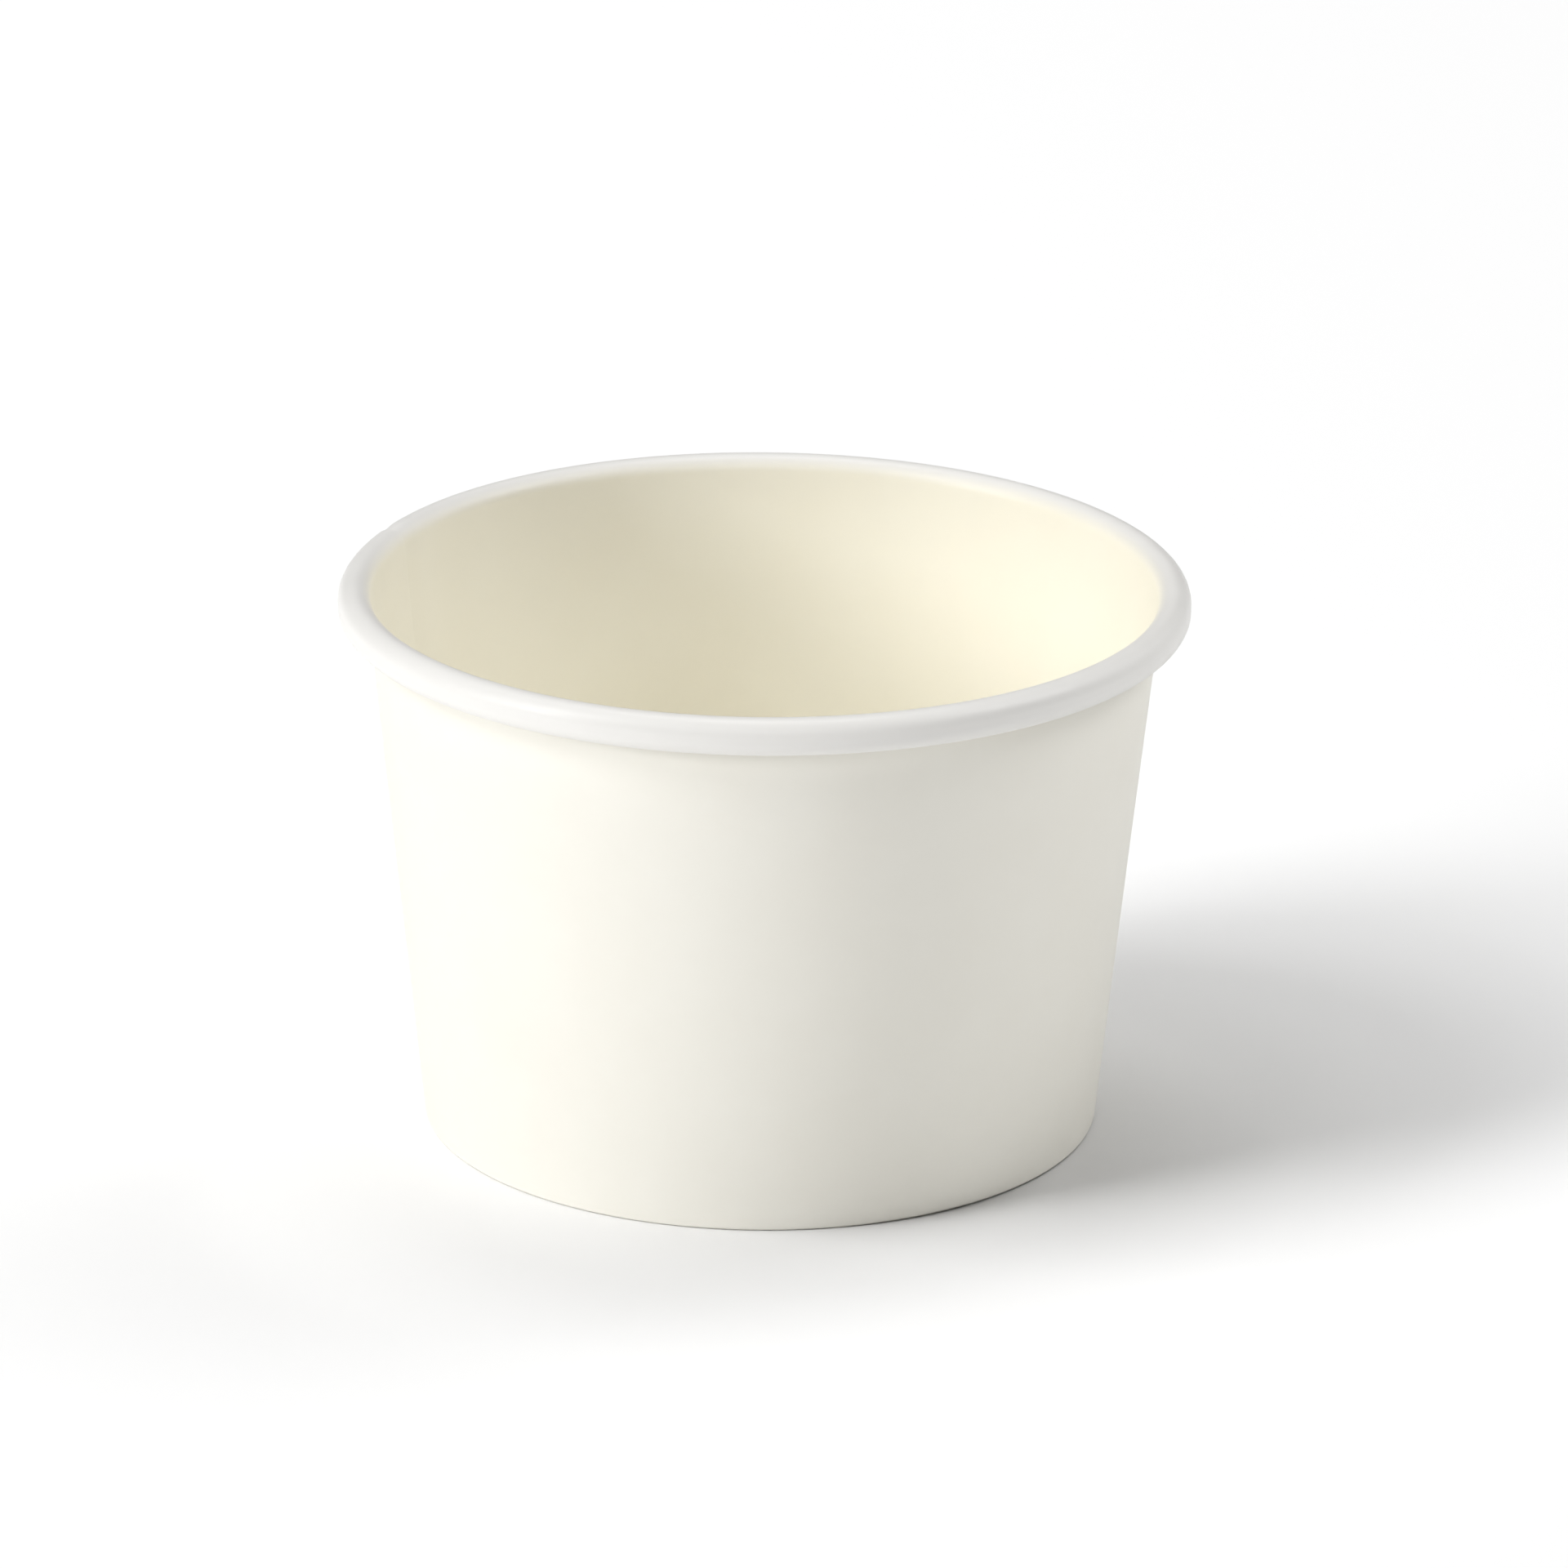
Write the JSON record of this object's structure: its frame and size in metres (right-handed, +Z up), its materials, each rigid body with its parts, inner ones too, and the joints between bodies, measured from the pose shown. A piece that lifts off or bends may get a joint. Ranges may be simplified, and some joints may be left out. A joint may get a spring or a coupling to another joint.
{
  "type": "paper sundae cup",
  "caption": "Plain white round paper cup with a tapered wall, an outward rolled rim and a recessed bottom disc.",
  "frame": {"origin": "middle of the foot, on the surface that the cup stands on", "axes": "+Z up the cup's axis to the mouth; -Y towards the viewer of the picture; the lap seam is 164 degrees from +X towards +Y"},
  "size_m": [0.076, 0.076, 0.05],
  "materials": {
    "coated_board": "white cup board, matt clay-coated outside and thin satin film inside",
    "bottom_board": "white cup board, thin satin film on its upper face"
  },
  "bodies": {
    "root": {"side_wall": "coated_board", "bottom_disc": "bottom_board"}
  },
  "joints": []
}
